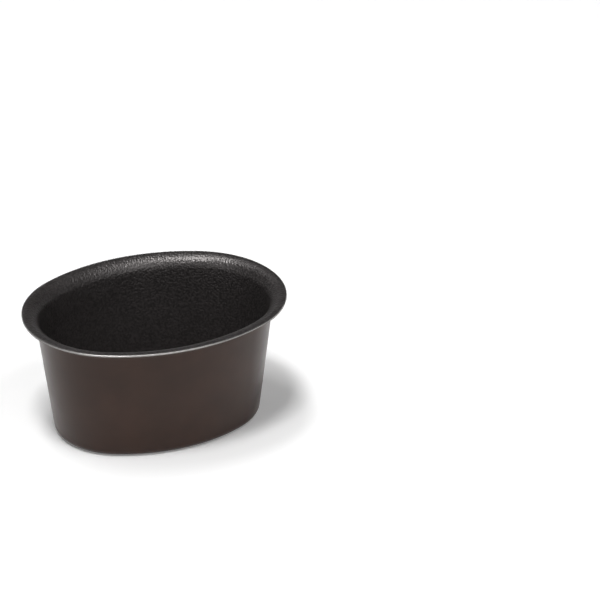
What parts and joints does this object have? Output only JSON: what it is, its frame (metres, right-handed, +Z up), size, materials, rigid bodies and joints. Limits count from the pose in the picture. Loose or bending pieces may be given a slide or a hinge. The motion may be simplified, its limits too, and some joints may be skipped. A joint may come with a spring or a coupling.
{
  "type": "oval aspic mould",
  "caption": "Deep oval sheet-steel mould with tapered walls, a flat base, a narrow lip that curls outward, a black non-stick lining and a brown lacquered outside.",
  "frame": {"origin": "centre of the flat base's underside, on the surface that the mould stands on", "axes": "+Z up out of the mouth, +X along the long axis of the oval, +Y along its short axis"},
  "size_m": [0.08, 0.062, 0.0387],
  "materials": {
    "lacquer": "smooth dark brown satin lacquer baked on the sheet",
    "steel": "bare sheared steel, seen only at the trimmed edge",
    "lining": "black non-stick coat with a fine pebbled grain and a satin sheen"
  },
  "bodies": {
    "root": {"outer_lacquer": "lacquer", "steel_shell": "steel", "nonstick_lining": "lining"}
  },
  "joints": []
}
